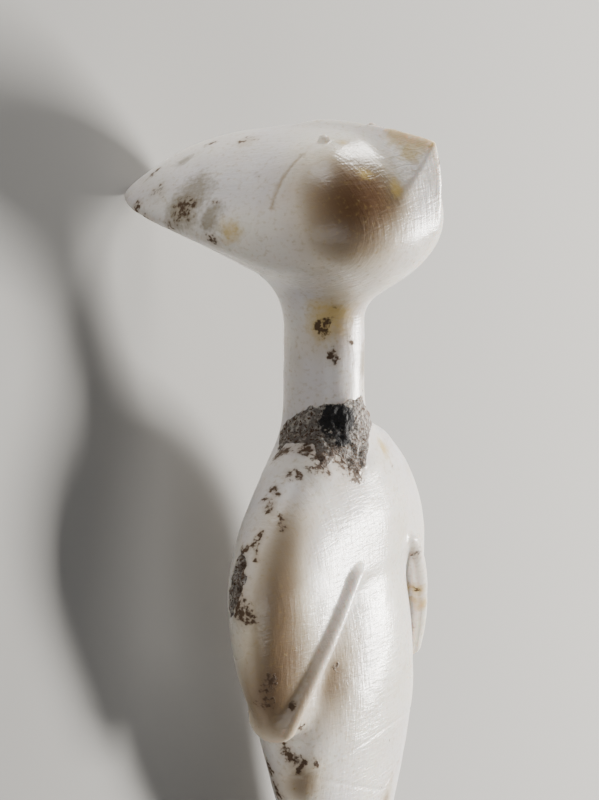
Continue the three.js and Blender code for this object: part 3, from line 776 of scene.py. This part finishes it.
def fine_height(s, grain, speck, soil, crust, pit):
    """Tool marks, one set across the other, over fine grain, with the dirt's own roughness."""
    marks = s.noise(PATTERN["mark"], detail=3, stretch=(7, 1, 1.2), turn=(0.2, 0.4, 0.8), bend=0.5)
    cross = s.noise(PATTERN["cross_mark"], detail=3, stretch=(1, 5, 1.2), turn=(0.5, 0.1, 0.3), bend=0.7)
    worn = s.band(s.noise(PATTERN["worn"], detail=2), *SETS_IN["worn"], to_low=LEAST["marks"])
    tooled = s.plus(s.times(marks, FINE_HEIGHT["mark"]), s.times(cross, FINE_HEIGHT["cross_mark"]))
    height = s.plus(s.times(worn, tooled), s.times(speck, FINE_HEIGHT["speck"]))
    height = s.plus(height, s.times(s.times(crust, grain), FINE_HEIGHT["crust"]))
    height = s.plus(height, s.times(s.times(soil, grain), FINE_HEIGHT["soil"]))
    return s.math("SUBTRACT", height, s.times(pit, FINE_HEIGHT["pit"]))


def marble():
    s = Shader("marble")
    cloud = s.noise(PATTERN["cloud"], detail=3)
    vein = s.noise(PATTERN["vein"], detail=6)
    grain = s.noise(PATTERN["grain"], detail=5)
    speck = s.noise(PATTERN["speck"], detail=3)
    soil = s.band(s.uneven(s.painted("soil"), grain, BROKEN["soil"]), *SETS_IN["soil"])
    crust = s.band(s.uneven(s.painted("crust"), grain, BROKEN["crust"]), *SETS_IN["crust"])
    pits = s.node("ShaderNodeTexVoronoi", {"Vector": s.place, "Scale": 1 / (PATTERN["pit"] * MM)})
    pit = s.times(s.band(pits.outputs["Distance"], *SETS_IN["pit"]), s.band(vein, *SETS_IN["pit_place"]))

    colour = stone_colour(s, cloud, vein)
    colour = cover(s, colour, "soil", grain, SOIL_LIGHT, soft=0.5, broken=1.2, strength=0.6)
    # painted shade: where the yellowed and shaded places are strongest the colour goes dark brown, a stain
    # that also stands in for the shade in the cheek's middle
    dark_stain_and_shade = s.band(s.painted("yellowed_and_shaded"), *SETS_IN["dark_stain_and_shade"], to_high=STRENGTH["dark_stain_and_shade"])
    colour = s.mix(dark_stain_and_shade, colour, DARK_STAIN_AND_SHADE)
    colour = cover(s, colour, "ochre", grain, OCHRE, soft=0.45, broken=1.1, strength=0.75)
    colour = cover(s, colour, "grey", grain, SMOKE, soft=0.4, broken=1.1, strength=0.7)
    colour = s.mix(s.times(soil, STRENGTH["soil"]), colour, SOIL)
    colour = s.mix(s.times(s.painted("line"), STRENGTH["line"]), colour, SOIL_LIGHT)
    colour = s.mix(crust, colour, crust_colour(s, vein, grain, speck))
    colour = s.mix(s.times(pit, STRENGTH["pit"]), colour, SOIL)

    rough = s.band(cloud, *SETS_IN["dull"], ROUGHNESS["polished"], ROUGHNESS["dull"])
    dirty = s.times(s.math("MAXIMUM", crust, soil), ROUGHNESS["dirt_adds"])
    height = fine_height(s, grain, speck, soil, crust, pit)
    bump = s.node("ShaderNodeBump", {"Height": height, "Strength": BUMP_STRENGTH, "Distance": MM})

    s.feed(s.surface.inputs["Base Color"], colour)
    s.feed(s.surface.inputs["Roughness"], s.math("ADD", rough, dirty, clamp=True))
    s.feed(s.surface.inputs["Normal"], bump.outputs["Normal"])
    s.surface.inputs["IOR"].default_value = MARBLE_IOR
    s.surface.inputs["Subsurface Weight"].default_value = SCATTER["weight"]
    s.surface.inputs["Subsurface Radius"].default_value = SCATTER["radius"]
    s.surface.inputs["Subsurface Scale"].default_value = SCATTER["depth"] * MM
    return s.material


FLOOR = dict(half_size=3.0, colour=(0.31, 0.305, 0.295, 1), roughness=0.85, specular=0.2)


def floor_material():
    s = Shader("pale_floor")
    s.surface.inputs["Base Color"].default_value = FLOOR["colour"]
    s.surface.inputs["Roughness"].default_value = FLOOR["roughness"]
    s.surface.inputs["Specular IOR Level"].default_value = FLOOR["specular"]
    return s.material


# ---- the figurine ----
figurine = build_figurine()
figurine.data.materials.append(marble())
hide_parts("figurine")
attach(figurine, "root")

# ---- the floor ----
floor_mesh = bpy.data.meshes.new("floor")
floor_mesh.from_pydata([(x, y, 0) for x, y in ((-1, -1), (1, -1), (1, 1), (-1, 1))], [], [(0, 1, 2, 3)])
floor_mesh.transform(Matrix.Scale(FLOOR["half_size"], 4))
floor_mesh.materials.append(floor_material())
floor = bpy.data.objects.new("floor", floor_mesh)
bpy.context.scene.collection.objects.link(floor)


# ---- the camera: in front of the figure's right side, a little above its head's level ----
CAMERA_TURN = math.radians(66)          # round the figure's long axis, from straight in front to its right
CAMERA_RISE = math.radians(13)          # up from the figure's level
CAMERA_AWAY = 700
CAMERA_AIM = 130.3                      # height on the figure that the picture is centred on
CAMERA_ASIDE = 4.2                      # how far the figure's axis lies right of the picture's middle
CAMERA_LENS = 180
CAMERA_CLIP_START = 0.01


def direction(v):
    """A direction of the upright figure, in the row's frame."""
    end, start = lay_down(np.array([v, (0, 0, 0)], float)) / MM
    return Vector(end - start)


def add_camera():
    sin_turn, cos_turn = math.sin(CAMERA_TURN), math.cos(CAMERA_TURN)
    sin_rise, cos_rise = math.sin(CAMERA_RISE), math.cos(CAMERA_RISE)
    ahead = (sin_turn * cos_rise, cos_turn * cos_rise, -sin_rise)
    up = (sin_turn * sin_rise, cos_turn * sin_rise, cos_rise)
    right = (cos_turn, -sin_turn, 0)
    place = np.array([(0, 0, CAMERA_AIM)]) - CAMERA_AWAY * np.array(ahead) - CAMERA_ASIDE * np.array(right)
    camera = bpy.data.objects.new("camera", bpy.data.cameras.new("camera"))
    camera.data.lens = CAMERA_LENS
    camera.data.clip_start = CAMERA_CLIP_START
    turn = Matrix([direction(right), direction(up), -direction(ahead)]).transposed().to_4x4()
    camera.matrix_world = Matrix.Translation(Vector(lay_down(place)[0])) @ turn
    bpy.context.scene.collection.objects.link(camera)
    bpy.context.scene.camera = camera


WARM = (1, 0.97, 0.92)
WHITE = (1, 1, 1)
# places and sizes in metres, in the row's frame
LIGHTS = [
    dict(name="key", place=(0.47, -0.19, 0.50), aim=(0, 0.03, 0.02), size=0.22, power=17.0, colour=WARM),
    dict(name="crown", place=(0.48, 0.52, 0.22), aim=(0, 0.08, 0.04), size=0.20, power=5.0, colour=WARM),
    dict(name="fill", place=(-0.10, 0.72, 0.22), aim=(0, 0.05, 0.03), size=0.30, power=2.2, colour=WHITE),
    dict(name="left", place=(-0.42, -0.10, 0.34), aim=(0, 0, 0.03), size=0.30, power=0.7, colour=WHITE),
]
WORLD = dict(colour=(1, 0.99, 0.97, 1), strength=0.05)


def add_light(name, place, aim, size, power, colour):
    data = bpy.data.lights.new(name, "AREA")
    data.size = size
    data.energy = power
    data.color = colour
    light = bpy.data.objects.new(name, data)
    light.location = place
    light.rotation_euler = (Vector(place) - Vector(aim)).to_track_quat("Z", "Y").to_euler()
    bpy.context.scene.collection.objects.link(light)


add_camera()
for light in LIGHTS:
    add_light(**light)
world = bpy.data.worlds.new("studio")
world.use_nodes = True
background = world.node_tree.nodes["Background"].inputs
background["Color"].default_value = WORLD["colour"]
background["Strength"].default_value = WORLD["strength"]
bpy.context.scene.world = world
